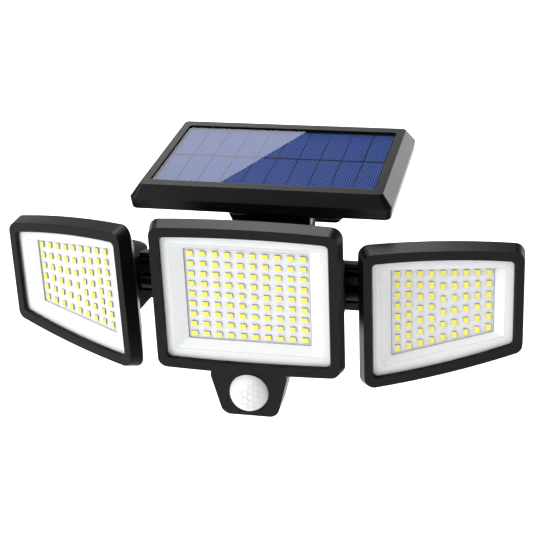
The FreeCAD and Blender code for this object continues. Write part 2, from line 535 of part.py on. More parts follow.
def knuckle():
    """Barrel between the fork's ears, with two cheeks for the tilt pin."""
    low, high = EAR_FOOT_HIGH + PLAY, EAR_TOP_LOW - PLAY
    barrel = cyl_z(PAN_X, PAN_Y, BARREL_R, low, high)
    solids = []
    for side in (-1, 1):
        x0, x1 = sorted((PAN_X + side * CHEEK_IN, PAN_X + side * CHEEK_OUT))
        solids.append(box(x0, x1, TILT_Y, PAN_Y, TILT_Z - TILT_R, TILT_Z + TILT_R))
        solids.append(cyl_x(TILT_Y, TILT_Z, TILT_R, x0, x1))
    body = fuse(barrel, *solids)
    body = body.cut(cyl_z(PAN_X, PAN_Y, PAN_PIN_R + RUN, low - 1, high + 1))
    return body.cut(cyl_x(TILT_Y, TILT_Z, TILT_PIN_R + RUN, PAN_X - 30, PAN_X + 30))


def tilt_pin():
    reach = CHEEK_OUT + 0.2
    pin = cyl_x(TILT_Y, TILT_Z, TILT_PIN_R, PAN_X - reach, PAN_X + reach)
    ends = [cyl_x(TILT_Y, TILT_Z, TILT_PIN_R + 1.3, PAN_X + reach, PAN_X + reach + 1.4),
            cyl_x(TILT_Y, TILT_Z, TILT_PIN_R + 1.3, PAN_X - reach - 1.4, PAN_X - reach)]
    return fuse(pin, *ends)


FLANGE_FRONT = PAN_Y + SIDE_LED_Y + HEAD_BACK + FACE     # flange face towards the head
FLANGE_BACK = FLANGE_FRONT + FLANGE_T


def cradle():
    """Round flange on the head's back, with the knuckle of the tilt hinge."""
    half = CHEEK_IN - PLAY
    disc = cyl_y(PAN_X, TILT_Z, FLANGE_R, FLANGE_FRONT, FLANGE_BACK)
    web = box(PAN_X - half, PAN_X + half, FLANGE_BACK - 0.5, TILT_Y, TILT_Z - TILT_R, TILT_Z + TILT_R)
    body = fuse(disc, web, cyl_x(TILT_Y, TILT_Z, TILT_R, PAN_X - half, PAN_X + half))
    body = body.cut(cyl_x(TILT_Y, TILT_Z, TILT_PIN_R + RUN, PAN_X - 30, PAN_X + 30))
    return body.cut(cyl_y(PAN_X, TILT_Z, FLANGE_SCREW_R + RUN, FLANGE_FRONT - 1, FLANGE_BACK + 1.4))


def flange_screw():
    """Shoulder screw from inside the head; its end turns in the flange."""
    seat = FLANGE_FRONT - FACE - HEAD_WALL
    shank = cyl_y(PAN_X, TILT_Z, FLANGE_SCREW_R, seat, FLANGE_BACK + 1.0)
    return fuse(shank, cyl_y(PAN_X, TILT_Z, FLANGE_HEAD_R, seat - FLANGE_HEAD_T, seat))


def side_leds():
    places = []
    last = len(SIDE_COLUMNS) - 1
    for column, count in enumerate(SIDE_COLUMNS):
        height = SIDE_INNER_H + (SIDE_OUTER_H - SIDE_INNER_H) * column / last
        for row in range(count):
            places.append((SIDE_PITCH * column, -height * row / (count - 1)))
    return places


def side_head():
    """Right side head in its own frame."""
    nodes = head_internals("side", SIDE_WINDOW, SIDE_BOARD, side_leds(), (LED_SHORT, LED_LONG), SIDE_BOWS)
    frame = head_frame(SIDE_FRONT, SIDE_GIRDLE, SIDE_WINDOW, SIDE_BOWS)
    nodes["side_frame"] = bore_screws(frame, SIDE_GIRDLE)
    shell = bore_screws(head_shell(SIDE_GIRDLE, SIDE_WINDOW, SIDE_BOARD, SIDE_BOWS), SIDE_GIRDLE)
    hole = cyl_y(FLANGE_X, FLANGE_Z, FLANGE_SCREW_R + RUN, HEAD_BACK - HEAD_WALL - 1, HEAD_BACK + 1)
    nodes["side_rear_shell"] = shell.cut(hole)
    nodes["side_screws"] = head_screws(SIDE_GIRDLE)
    return nodes


def place_side(shape, side, level):
    """From the built pose to the rest pose; level 1 pans, 2 also tilts, 3 also twists."""
    hand = 1 if side == "right" else -1
    moved = mirrored(shape, side)
    x = hand * PAN_X
    if level == 3:
        moved = turn(moved, V(x, PAN_Y, TILT_Z), Y_AXIS, SIDE_TWIST[side])
    if level >= 2:
        moved = turn(moved, V(x, TILT_Y, TILT_Z), X_AXIS, SIDE_TILT[side])
    if level >= 1:
        moved = turn(moved, V(x, PAN_Y, TILT_Z), Z_AXIS, hand * SIDE_PAN[side])
    return moved


def side_nodes():
    """All pieces of both sides, in the centre head's frame."""
    nodes = {}
    head = side_head()
    to_arm = V(PAN_X + SIDE_LED_X, PAN_Y + SIDE_LED_Y, TILT_Z + SIDE_LED_Z)
    for side in ("left", "right"):
        nodes[side + "_arm"] = mirrored(arm(), side)
        nodes[side + "_pivot_cap"] = mirrored(pivot_cap(), side)
        nodes[side + "_knuckle"] = place_side(knuckle(), side, 1)
        nodes[side + "_tilt_pin"] = place_side(tilt_pin(), side, 1)
        nodes[side + "_cradle"] = place_side(cradle(), side, 2)
        nodes[side + "_flange_screw"] = place_side(flange_screw(), side, 3)
        for key, shape in head.items():
            name = key.replace("side_", side + "_")
            nodes[name] = place_side(shift(shape, to_arm), side, 3)
    nodes["pan_bolts"] = group([mirrored(pan_bolt(), side) for side in ("left", "right")])
    nodes["pan_nuts"] = group([mirrored(pan_nut(), side) for side in ("left", "right")])
    return nodes


# ================================================================ solar panel, own frame
def panel_rect(half, z, radius):
    x, y = half
    corners = [V(-x, -y, z), V(x, -y, z), V(x, y, z), V(-x, y, z)]
    edges = []
    for i, corner in enumerate(corners):
        before, after = corners[i - 1], corners[(i + 1) % 4]
        start = corner + (before - corner).normalize() * radius
        end = corner + (after - corner).normalize() * radius
        middle = corner + ((before - corner).normalize() + (after - corner).normalize()) * (
            radius * (1 - math.sqrt(0.5)))
        edges.append(Part.Arc(start, middle, end).toShape())
        following = corners[(i + 1) % 4]
        to = following + (corner - following).normalize() * radius
        edges.append(Part.LineSegment(end, to).toShape())
    return Part.Wire(edges)


def panel_slab(half, radius, z0, z1):
    return Part.Face(panel_rect(half, z0, radius)).extrude(V(0, 0, z1 - z0))


def grown(half, distance):
    return (half[0] + distance, half[1] + distance)


GLASS_TOP = -PANEL_LIP
CELL_TOP = GLASS_TOP - GLASS_T
SHEET_TOP = CELL_TOP - CELL_T
SHEET_LOW = SHEET_TOP - BACKSHEET_T
COVER_TOP = -PANEL_DEPTH + REAR_COVER_T
PANEL_SCREWS = [(x * 60.0, y * 40.5) for x in (-1, 1) for y in (-1, 1)]


def panel_frame():
    """Moulded rim: flat bezel, sloped sides down to a girdle, drawn-in foot."""
    top = panel_rect(PANEL_TOP_HALF, 0, PANEL_TOP_R)
    girdle = panel_rect(PANEL_GIRDLE_HALF, PANEL_GIRDLE_Z, PANEL_GIRDLE_R)
    base = panel_rect(PANEL_FOOT_HALF, -PANEL_DEPTH, PANEL_GIRDLE_R)
    upper = Part.makeLoft([top, girdle], True, True)
    lower = Part.makeLoft([girdle, base], True, True)
    body = fuse(upper, lower)
    foot = [e for e in body.Edges if abs(e.BoundBox.ZMax + PANEL_DEPTH) < 1e-6]
    body = body.makeFillet(1.2, foot)
    body = body.cut(panel_slab(PANEL_WINDOW_HALF, 2.0, -PANEL_LIP, 1))
    body = body.cut(panel_slab(PANEL_CAVITY_HALF, 3.0, -PANEL_DEPTH - 1, -PANEL_LIP))
    for x, y in PANEL_SCREWS:
        boss = cyl_z(x, y, 3.2, COVER_TOP, SHEET_LOW)
        arm_end = math.copysign(PANEL_CAVITY_HALF[1] + 1, y)
        rib = box(x - 1.2, x + 1.2, min(y, arm_end), max(y, arm_end), COVER_TOP, SHEET_LOW)
        body = fuse(body, boss, rib)
        body = body.cut(cyl_z(x, y, COVER_SCREW_R + RUN, COVER_TOP - 1, SHEET_LOW - 1))
    return body


def solar_cells():
    half_x, half_y = PANEL_WINDOW_HALF
    pitch_x = (2 * half_x - 2 * CELL_MARGIN + CELL_GAP) / CELL_COLS
    pitch_y = (2 * half_y - 2 * CELL_MARGIN + CELL_GAP) / CELL_ROWS
    cells = []
    for i in range(CELL_COLS):
        for j in range(CELL_ROWS):
            x = -half_x + CELL_MARGIN + pitch_x * i
            y = -half_y + CELL_MARGIN + pitch_y * j
            cells.append(box(x, x + pitch_x - CELL_GAP, y, y + pitch_y - CELL_GAP, SHEET_TOP, CELL_TOP))
    return group(cells)


def panel_plate(z0, z1):
    return panel_slab(grown(PANEL_CAVITY_HALF, -SEAT), 2.9, z0, z1)


def battery_box():
    """Tray under the panel for one battery, open to the inside of the panel."""
    low = -PANEL_DEPTH - BOX_DROP
    outer = box(BOX_LEFT, BOX_RIGHT, BOX_FRONT, BOX_BACK, low, -PANEL_DEPTH)
    lower_edges = [e for e in outer.Edges if e.BoundBox.ZMax < low + 1e-6]
    upright = [e for e in outer.Edges if e.BoundBox.ZMax - e.BoundBox.ZMin > BOX_DROP - 1e-6]
    outer = outer.makeFillet(2.5, lower_edges + upright)
    inner = box(BOX_LEFT + BOX_WALL, BOX_RIGHT - BOX_WALL, BOX_FRONT + BOX_WALL, BOX_BACK - BOX_WALL,
                low + BOX_WALL, -PANEL_DEPTH + 1)
    return outer.cut(inner)


BATTERY_Y = (BOX_FRONT + BOX_BACK) / 2
BATTERY_X = (BOX_LEFT + BOX_RIGHT) / 2
BATTERY_Z = -PANEL_DEPTH - BOX_DROP + BOX_WALL + CELL_CAN_R + SEAT


def battery_parts():
    x0, x1 = BATTERY_X - CELL_CAN_L / 2, BATTERY_X + CELL_CAN_L / 2
    can = cyl_x(BATTERY_Y, BATTERY_Z, CELL_CAN_R, x0, x1)
    ends = [e for e in can.Edges if e.BoundBox.XMax - e.BoundBox.XMin < 1e-6]
    can = fuse(can.makeFillet(0.8, ends), cyl_x(BATTERY_Y, BATTERY_Z, 3.0, x1, x1 + 0.8))
    plates = []
    for x, wall in ((x0, BOX_LEFT + BOX_WALL), (x1 + 0.8, BOX_RIGHT - BOX_WALL)):
        a, b = sorted((wall, wall + math.copysign(0.8, x - wall)))
        leaf = box(a, b, BATTERY_Y - 6, BATTERY_Y + 6, BATTERY_Z - 6, BATTERY_Z + 6)
        low, high = sorted((x, wall))
        plates.append(fuse(leaf, cyl_x(BATTERY_Y, BATTERY_Z, 2.5, low, high)))
    return can, group(plates)


def rear_cover():
    """Lid under the panel, open over the battery tray."""
    lid = panel_plate(-PANEL_DEPTH, COVER_TOP)
    opening = box(BOX_LEFT + BOX_WALL, BOX_RIGHT - BOX_WALL, BOX_FRONT + BOX_WALL, BOX_BACK - BOX_WALL,
                  -PANEL_DEPTH - 1, COVER_TOP + 1)
    lid = lid.cut(opening)
    for x, y in PANEL_SCREWS:
        lid = lid.cut(cyl_z(x, y, COVER_SCREW_R + RUN, -PANEL_DEPTH - 1, COVER_TOP + 1))
    return lid


def panel_screw(x, y):
    along_y = pan_screw(0, 0, 0, 8.0, -1, COVER_SCREW_R, COVER_HEAD_R, COVER_HEAD_T)
    upright = turn(along_y, V(0, 0, 0), X_AXIS, 90)
    return shift(upright, V(x, y, -PANEL_DEPTH))


def panel_lug():
    """Hinge lug under the panel: knuckle, web, foot plate and a front shroud."""
    axis_z = -PANEL_AXIS_DROP
    top, low = -PANEL_DEPTH, axis_z - 1.5
    half = PANEL_LUG_HALF - PLAY
    front = PANEL_AXIS_Y - HINGE_R - FACE
    barrel = cyl_x(PANEL_AXIS_Y, axis_z, HINGE_R, -half, half)
    web = box(-half, half, front + 1.0, PANEL_AXIS_Y + HINGE_R, axis_z, top)
    edges = [(SHROUD_LOW[0], low), (SHROUD_LOW[1], low), (SHROUD_TOP[1], top), (SHROUD_TOP[0], top)]
    shroud = plate(edges, lambda x, z: V(x, front - SHROUD_T, z), V(0, SHROUD_T, 0))
    link = box(-half, SHROUD_LOW[1], front, PANEL_AXIS_Y, low + 3.0, top)
    foot = box(-26.0, 26.0, front - SHROUD_T, PANEL_AXIS_Y + HINGE_R + 14, top - 3.0, top)
    body = fuse(barrel, web, shroud, link, foot)
    return body.cut(cyl_x(PANEL_AXIS_Y, axis_z, HINGE_PIN_R + RUN, -60, 60))


def panel_nodes():
    can, contacts = battery_parts()
    return {
        "panel_frame": panel_frame(),
        "panel_glass": panel_plate(CELL_TOP, GLASS_TOP),
        "solar_cells": solar_cells(),
        "panel_backsheet": panel_plate(SHEET_LOW, SHEET_TOP),
        "panel_rear_cover": rear_cover(),
        "panel_screws": group([panel_screw(x, y) for x, y in PANEL_SCREWS]),
        "panel_hinge_lug": panel_lug(),
        "battery_box": battery_box(),
        "battery_cell": can,
        "battery_contacts": contacts,
    }


# ================================================================ wall bracket
def wall_plate():
    points = [(-PLATE_W / 2, -PLATE_H / 2), (PLATE_W / 2, -PLATE_H / 2),
              (PLATE_W / 2, PLATE_H / 2), (-PLATE_W / 2, PLATE_H / 2)]
    body = slab(points, PLATE_R, -PLATE_T, 0)
    for x in (-1, 1):
        for z in (-1, 1):
            body = body.cut(cyl_y(x * HOLE_PITCH_X / 2, z * HOLE_PITCH_Z / 2, HOLE_R, -PLATE_T - 1, 1))
    for x, z in bracket_screw_places():
        body = body.cut(cyl_y(x, z, 1.6 + RUN, -PLATE_T - 1, 1))
        body = body.cut(cyl_y(x, z, 3.2 + SEAT, -1.7, 1))
    return body


def bracket_screw_places():
    middle = (BEAM_BOTTOM + BEAM_TOP) / 2
    return [(x * BRACKET_SCREW_X, middle + z * BRACKET_SCREW_Z) for x in (-1, 1) for z in (-1, 1)]


def bracket_arm():
    """Beam from the wall plate with the panel's ears at its front and the head's lug below."""
    back = -PLATE_T
    half = BEAM_W / 2
    beam = box(-half, half, -BEAM_FRONT, back, BEAM_BOTTOM, BEAM_TOP)
    hollow = box(-half + BEAM_WALL, half - BEAM_WALL, -BEAM_FRONT + BEAM_WALL, back - BEAM_END,
                 BEAM_BOTTOM - 1, BEAM_TOP - BEAM_WALL)
    ear_y, ear_z = -PANEL_AXIS_OUT, PANEL_AXIS_UP
    ear_half = panel_ear_end()
    solids = [box(-ear_half, ear_half, -CROSS_BAR_FRONT, -BEAM_FRONT, ear_z - HINGE_R, ear_z + HINGE_R)]
    for side in (-1, 1):
        x0, x1 = sorted((side * (PANEL_LUG_HALF + 0.5), side * ear_half))
        solids.append(box(x0, x1, ear_y, -BEAM_FRONT, ear_z - HINGE_R, ear_z + HINGE_R))
        solids.append(cyl_x(ear_y, ear_z, HINGE_R, x0, x1))
    lug_y, lug_z = -HEAD_AXIS_OUT, HEAD_AXIS_UP
    lug = HEAD_LUG_HALF
    solids.append(cyl_x(lug_y, lug_z, HINGE_R, -lug, lug))
    solids.append(box(-lug, lug, lug_y - 4.0, lug_y + HINGE_R, lug_z, BEAM_TOP - BEAM_WALL))
    body = fuse(beam.cut(hollow), *solids)
    body = body.cut(cyl_x(ear_y, ear_z, HINGE_PIN_R + RUN, -60, 60))
    body = body.cut(cyl_x(ear_y, ear_z, BOLT_HEAD_R + RUN, ear_half - BOLT_HEAD_T, ear_half + 1))
    body = body.cut(hexagon_x(ear_y, ear_z, NUT_R + RUN, -ear_half - 1, -ear_half + NUT_T))
    body = body.cut(cyl_x(lug_y, lug_z, HINGE_PIN_R + RUN, -60, 60))
    for x, z in bracket_screw_places():
        body = body.cut(cyl_y(x, z, 1.6 + RUN, back - 11, back + 1))
    return body


def panel_ear_end():
    return PANEL_LUG_HALF + 0.5 + PANEL_EAR_T


def bracket_screws():
    return group([pan_screw(x, z, -1.7, 12.0, 1, 1.6, 3.2, 1.5) for x, z in bracket_screw_places()])


def hexagon_x(y, z, radius, x0, x1):
    corners = [(y + radius * math.cos(math.radians(60 * i)), z + radius * math.sin(math.radians(60 * i)))
               for i in range(6)]
    return plate(corners, lambda a, b: V(x0, a, b), V(x1 - x0, 0, 0))


def hinge_bolt(y, z, tip, seat):
    """Bolt along X with its head on the right."""
    shank = cyl_x(y, z, HINGE_PIN_R, tip, seat)
    head = cyl_x(y, z, BOLT_HEAD_R, seat, seat + BOLT_HEAD_T)
    rim = [e for e in head.Edges if abs(e.CenterOfMass.x - seat - BOLT_HEAD_T) < 1e-6]
    return fuse(shank, head.makeFillet(0.6, rim))


def hinge_nut(y, z, x0):
    nut = hexagon_x(y, z, NUT_R, x0, x0 + NUT_T)
    return nut.cut(cyl_x(y, z, HINGE_PIN_R + RUN, x0 - 1, x0 + NUT_T + 1))


def bracket_nodes():
    """Nodes fixed to the wall, and the head's hinge hardware with them."""
    panel_end = panel_ear_end()
    head_end = HEAD_LUG_HALF + PLAY + HEAD_EAR_T
    y1, z1 = -PANEL_AXIS_OUT, PANEL_AXIS_UP
    y2, z2 = -HEAD_AXIS_OUT, HEAD_AXIS_UP
    return {
        "wall_plate": wall_plate(), "bracket_arm": bracket_arm(), "bracket_screws": bracket_screws(),
        "panel_hinge_bolt": hinge_bolt(y1, z1, -panel_end, panel_end - BOLT_HEAD_T),
        "panel_hinge_nut": hinge_nut(y1, z1, -panel_end),
        "head_hinge_bolt": hinge_bolt(y2, z2, -head_end - NUT_T - 0.8, head_end),
        "head_hinge_nut": hinge_nut(y2, z2, -head_end - NUT_T),
    }


# ================================================================ assembly
def place_centre(shape):
    moved = shift(shape, V(0, -HEAD_AXIS_OUT - HEAD_AXIS_Y, HEAD_AXIS_UP - HEAD_AXIS_Z))
    return turn(moved, V(0, -HEAD_AXIS_OUT, HEAD_AXIS_UP), X_AXIS, HEAD_TILT)


def place_panel(shape):
    moved = shift(shape, V(0, -PANEL_AXIS_OUT - PANEL_AXIS_Y, PANEL_AXIS_UP + PANEL_AXIS_DROP))
    return turn(moved, V(0, -PANEL_AXIS_OUT, PANEL_AXIS_UP), X_AXIS, PANEL_TILT)


def main():
    centre = centre_head()
    centre.update(side_nodes())
    centre.update({"rear_body": pod(), "rear_body_cover": pod_cover(), "rear_body_screws": pod_screws(),
                   "control_board": control_board(), "mode_button": mode_button()})
    nodes = bracket_nodes()
    nodes.update({name: place_centre(shape) for name, shape in centre.items()})
    nodes.update({name: place_panel(shape) for name, shape in panel_nodes().items()})
    for name, shape in nodes.items():
        export(name, shape)
    print(len(nodes), "nodes")


main()
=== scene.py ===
import json
import math

import bmesh
import bpy
from mathutils import Matrix, Vector

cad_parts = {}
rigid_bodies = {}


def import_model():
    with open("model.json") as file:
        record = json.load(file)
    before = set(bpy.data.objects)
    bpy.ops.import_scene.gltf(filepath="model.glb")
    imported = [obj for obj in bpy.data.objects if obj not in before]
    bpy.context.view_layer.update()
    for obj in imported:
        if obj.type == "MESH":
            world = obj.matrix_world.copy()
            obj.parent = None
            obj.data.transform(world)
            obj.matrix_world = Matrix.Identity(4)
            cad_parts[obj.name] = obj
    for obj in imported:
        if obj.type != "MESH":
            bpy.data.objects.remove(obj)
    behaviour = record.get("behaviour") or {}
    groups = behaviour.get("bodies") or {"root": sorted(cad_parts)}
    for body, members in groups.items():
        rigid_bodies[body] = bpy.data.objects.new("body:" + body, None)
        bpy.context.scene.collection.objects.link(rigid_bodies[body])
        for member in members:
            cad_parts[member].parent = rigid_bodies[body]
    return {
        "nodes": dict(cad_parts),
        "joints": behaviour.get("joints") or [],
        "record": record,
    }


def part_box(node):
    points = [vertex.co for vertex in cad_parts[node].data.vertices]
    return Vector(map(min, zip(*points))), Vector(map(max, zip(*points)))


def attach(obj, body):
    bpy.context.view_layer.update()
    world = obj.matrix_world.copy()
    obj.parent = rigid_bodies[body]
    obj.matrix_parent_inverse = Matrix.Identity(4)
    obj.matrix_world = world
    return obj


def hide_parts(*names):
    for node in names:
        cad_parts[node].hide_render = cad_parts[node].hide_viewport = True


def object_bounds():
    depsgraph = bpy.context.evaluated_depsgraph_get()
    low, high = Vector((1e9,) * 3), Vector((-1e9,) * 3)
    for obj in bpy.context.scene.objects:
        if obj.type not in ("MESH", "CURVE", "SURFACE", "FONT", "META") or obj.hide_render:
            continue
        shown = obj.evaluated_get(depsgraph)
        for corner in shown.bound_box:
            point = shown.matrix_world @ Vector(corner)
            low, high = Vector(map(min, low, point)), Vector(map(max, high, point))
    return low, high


# Looks of the solar security light. Metres, in the part's own frame: the origin is the centre
# of the wall plate's back face, the front is -Y and up is +Z.
MM = 0.001

# ---------------------------------------------------------------- camera
CAMERA_AT = Vector((0.17241, -0.85574, 0.18070))
CAMERA_TURN, CAMERA_DIP = 12.74, 14.93      # degrees, to the left and down
CAMERA_LENS, CAMERA_SENSOR = 94.56, 36.0
PHOTO_SIZE = 533

# ---------------------------------------------------------------- studio
FLOOR_DROP = 0.22           # floor below the lowest piece
FLOOR_HALF = 6.0
WORLD_LEVEL = 0.58          # soft light from all round
SWEEP_TOP, CEILING_START = 0.25, 0.42       # the white sweep ends, the dark ceiling begins
CEILING_LEVEL = 0.05
FLOOR_GLOW_NEAR, FLOOR_GLOW_FAR = 0.32, 1.0
GLOW_START, GLOW_END = 0.5, 2.2
LIT_POINT = (0, -0.1, 0)    # all lamps aim here
TOP_AT, TOP_SIZE, TOP_POWER = (-0.25, -0.25, 1.3), 1.4, 18.0
FRONT_AT, FRONT_SIZE, FRONT_POWER = (-1.3, -1.5, 0.7), 1.2, 23.0
RIM_AT, RIM_SIZE, RIM_POWER = (-0.30, 0.45, 1.45), 0.8, 16.0
EDGE_AT, EDGE_SIZE, EDGE_POWER = (0.75, 1.07, 0.36), 0.7, 3.6
# edge of the bright card that the glass of the panel mirrors, as two points of the photograph
GLARE_BACK, GLARE_FRONT = (310.0, 129.8), (220.2, 182.4)
CARD_AWAY, CARD_WIDTH, CARD_OVERSHOOT, CARD_LEVEL = 1.6, 2.2, 0.6, 1.7

# ---------------------------------------------------------------- details
CLOUD_SCALE, GRAIN_SCALE = 35.0, 2600.0     # of the noises on dark plastic, per metre
COLOUR_WANDER, GLOSS_WANDER = 0.14, 0.04
GRAIN_STRENGTH, GRAIN_DEPTH = 0.05, 0.2 * MM
PLASTIC_GLOSS, EDGE_RADIUS = 0.135, 0.5 * MM
CREASE_SPAN, CREASE_PAINTED_SHADE = (0.93, 0.995), 0.42      # where a crease shows, and the grey of the shade painted along it
SHEET_IOR = 1.45
PANEL_TILT, LEFT_TWIST = 11.56, 7.4         # degrees, as in the part
GLASS_HALF = 0.6 * MM       # half the thickness of the panel's glass
CELL_COLUMNS = 10
CELL_ROW_PITCH = 1.15 * MM  # faint rows across the collector fingers
CELL_GAP = (0.455, 0.465)   # dark gap between columns starts here, from a cell's middle
CELL_SEAM = (0.85 * MM, 0.95 * MM)          # dark seam between the two rows, from its middle
CELL_BLACK = (0.0005, 0.0005, 0.0010, 1)
LED_CORNER = 0.35 * MM
LED_CHAMFER, LED_CASE_TOP = 0.06 * MM, 0.80     # edge of the phosphor face, and of the case
LED_FACE_INSET = 0.5 * MM
CREASE_RADIUS = 0.50 * MM   # half width of the painted shade lines along the reflector's creases
LENS_CELL = 3.9 * MM        # pitch of the facets of the sensor's lens
LENS_GROOVE, LENS_GROOVE_HALF = 0.55 * MM, 0.55 * MM
FINGERS_PER_CELL = 9
LENS_RADIUS, LENS_RISE, LENS_COLLAR = 11.1 * MM, 9.6 * MM, 2.0 * MM
LENS_RINGS, LENS_TURNS = 90, 240
COVER_KEPT = 0.80           # share of a clear sheet's thickness that is kept, at its outer face

for leftover in list(bpy.data.objects):
    bpy.data.objects.remove(leftover)
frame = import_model()
CAD_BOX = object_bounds()
NODES = frame["nodes"]
JOINTS = {joint["name"]: joint for joint in frame["joints"]}
SIDES = ("left", "right")


# ================================================================ node helpers
class Shader:
    """A material's node tree, with short calls to add and join nodes."""

    def __init__(self, name):
        self.material = bpy.data.materials.new(name)
        self.material.use_nodes = True
        self.tree = self.material.node_tree
        self.base = self.tree.nodes["Principled BSDF"]
        self.output = self.tree.nodes["Material Output"]
        self.place = self.add("ShaderNodeTexCoord").outputs["Object"]

    def add(self, kind, **settings):
        node = self.tree.nodes.new(kind)
        for key, value in settings.items():
            setattr(node, key, value)
        return node

    def join(self, source, target):
        self.tree.links.new(source, target)

    def set(self, **values):
        for key, value in values.items():
            self.base.inputs[key.replace("_", " ")].default_value = value

    def noise(self, scale, detail=3.0, vector=None):
        node = self.add("ShaderNodeTexNoise")
        node.inputs["Scale"].default_value = scale
        node.inputs["Detail"].default_value = detail
        self.join(vector or self.place, node.inputs["Vector"])
        return node.outputs["Fac"]

    def spread(self, value, low, high, start=0.0, end=1.0):
        node = self.add("ShaderNodeMapRange")
        for key, number in (("From Min", start), ("From Max", end), ("To Min", low), ("To Max", high)):
            node.inputs[key].default_value = number
        self.join(value, node.inputs["Value"])
        return node.outputs["Result"]

    def paint(self, scale, first, second):
        """Colour that wanders between two near ones."""
        self.join(self.mix(self.noise(scale), first, second), self.base.inputs["Base Color"])

    def math(self, operation, first, second=None, third=None):
        node = self.add("ShaderNodeMath", operation=operation)
        for socket, value in zip(node.inputs, (first, second, third)):
            if value is None:
                continue
            if isinstance(value, (int, float)):
                socket.default_value = value
            else:
                self.join(value, socket)
        return node.outputs["Value"]

    def mix(self, factor, first, second):
        node = self.add("ShaderNodeMix", data_type="RGBA")
        for name, value in (("Factor", factor), ("A", first), ("B", second)):
            socket = [s for s in node.inputs if s.name == name and s.enabled][0]
            if isinstance(value, (int, float, tuple)):
                socket.default_value = value
            else:
                self.join(value, socket)
        return [s for s in node.outputs if s.enabled][0]

    def split(self, vector=None):
        node = self.add("ShaderNodeSeparateXYZ")
        self.join(vector or self.place, node.inputs["Vector"])
        return node.outputs["X"], node.outputs["Y"], node.outputs["Z"]

    def bump(self, height, strength, distance, normal=None):
        node = self.add("ShaderNodeBump")
        node.inputs["Strength"].default_value = strength
        node.inputs["Distance"].default_value = distance
        self.join(height, node.inputs["Height"])
        if normal:
            self.join(normal, node.inputs["Normal"])
        return node.outputs["Normal"]

    def tracks(self, scale, start, end):
        """0 on a net of thin lines, 1 between them."""
        cell = self.add("ShaderNodeTexVoronoi", feature="DISTANCE_TO_EDGE")
        cell.inputs["Scale"].default_value = scale
        self.join(self.place, cell.inputs["Vector"])
        return self.spread(cell.outputs["Distance"], 0.0, 1.0, start, end)

    def rounded(self, radius):
        node = self.add("ShaderNodeBevel", samples=4)
        node.inputs["Radius"].default_value = radius
        return node.outputs["Normal"]


def grey(level, alpha=1.0):
    return (level, level, level, alpha)


# ================================================================ materials
def moulded_plastic(name, colour, roughness, gloss=PLASTIC_GLOSS):
    """Dark moulded plastic: fine grain, slow clouding of colour and gloss, softened edges."""
    s = Shader(name)
    clouds = s.noise(CLOUD_SCALE)
    fine = s.noise(GRAIN_SCALE, 2.0)
    darker = tuple(c * (1 - COLOUR_WANDER) for c in colour) + (1.0,)
    lighter = tuple(c * (1 + COLOUR_WANDER) for c in colour) + (1.0,)
    s.join(s.mix(clouds, darker, lighter), s.base.inputs["Base Color"])
    low, high = roughness - GLOSS_WANDER, roughness + GLOSS_WANDER
    s.join(s.spread(clouds, low, high), s.base.inputs["Roughness"])
    s.join(s.bump(fine, GRAIN_STRENGTH, GRAIN_DEPTH, s.rounded(EDGE_RADIUS)), s.base.inputs["Normal"])
    s.set(Specular_IOR_Level=gloss)
    return s.material


def white_plastic():
    s = Shader("reflector_white")
    clouds = s.noise(28.0)
    softened = s.rounded(CREASE_RADIUS)
    crease = s.add("ShaderNodeVectorMath", operation="DOT_PRODUCT")
    s.join(softened, crease.inputs[0])
    s.join(s.add("ShaderNodeNewGeometry").outputs["Normal"], crease.inputs[1])
    # painted shade: greys the white along the reflector's creases, where the rounded normal turns from
    # the true one
    painted_crease_shade = s.spread(crease.outputs["Value"], 1.0, 0.0, *CREASE_SPAN)
    white = s.mix(clouds, grey(0.84), grey(0.90))
    s.join(s.mix(painted_crease_shade, white, grey(CREASE_PAINTED_SHADE)), s.base.inputs["Base Color"])
    s.join(s.bump(s.noise(1500.0, 2.0), 0.03, 0.1 * MM, softened), s.base.inputs["Normal"])
    s.set(Roughness=0.32)
    return s.material


def board_white():
    """White solder resist with faint tracks below it."""
    s = Shader("led_board_white")
    track = s.tracks(150.0, 0.04, 0.08)
    s.join(s.mix(track, (0.80, 0.81, 0.82, 1), (0.84, 0.84, 0.85, 1)), s.base.inputs["Base Color"])
    s.join(s.bump(track, 0.2, 0.05 * MM), s.base.inputs["Normal"])
    s.set(Roughness=0.4)
    return s.material


def phosphor():
    s = Shader("led_phosphor")
    grain = s.noise(3000.0, 2.0)
    s.join(s.mix(grain, (1.0, 0.86, 0.06, 1), (1.0, 0.93, 0.14, 1)), s.base.inputs["Base Color"])
    s.join(s.bump(grain, 0.1, 0.05 * MM), s.base.inputs["Normal"])
    s.set(Roughness=0.45)
    return s.material


def led_package():
    s = Shader("led_package")
    s.paint(900.0, (0.17, 0.16, 0.26, 1), (0.22, 0.21, 0.32, 1))
    s.set(Roughness=0.5)
    return s.material


def clear_sheet(name, tint, mirror):
    """Clear cover: lets light straight through and mirrors what Fresnel gives."""
    s = Shader(name)
    through = s.add("ShaderNodeBsdfTransparent")
    through.inputs["Color"].default_value = tint
    gloss = s.add("ShaderNodeBsdfGlossy")
    gloss.inputs["Roughness"].default_value = 0.0
    s.join(s.mix(s.noise(90.0), grey(0.93), grey(1.0)), gloss.inputs["Color"])
    fresnel = s.add("ShaderNodeFresnel")
    fresnel.inputs["IOR"].default_value = SHEET_IOR
    outside = s.math("SUBTRACT", 1.0, s.add("ShaderNodeNewGeometry").outputs["Backfacing"])
    blend = s.add("ShaderNodeMixShader")
    share = s.math("MULTIPLY", s.math("MULTIPLY", fresnel.outputs["Fac"], mirror), outside)
    s.join(share, blend.inputs["Fac"])
    s.join(through.outputs["BSDF"], blend.inputs[1])
    s.join(gloss.outputs["BSDF"], blend.inputs[2])
    s.join(blend.outputs["Shader"], s.output.inputs["Surface"])
    return s.material


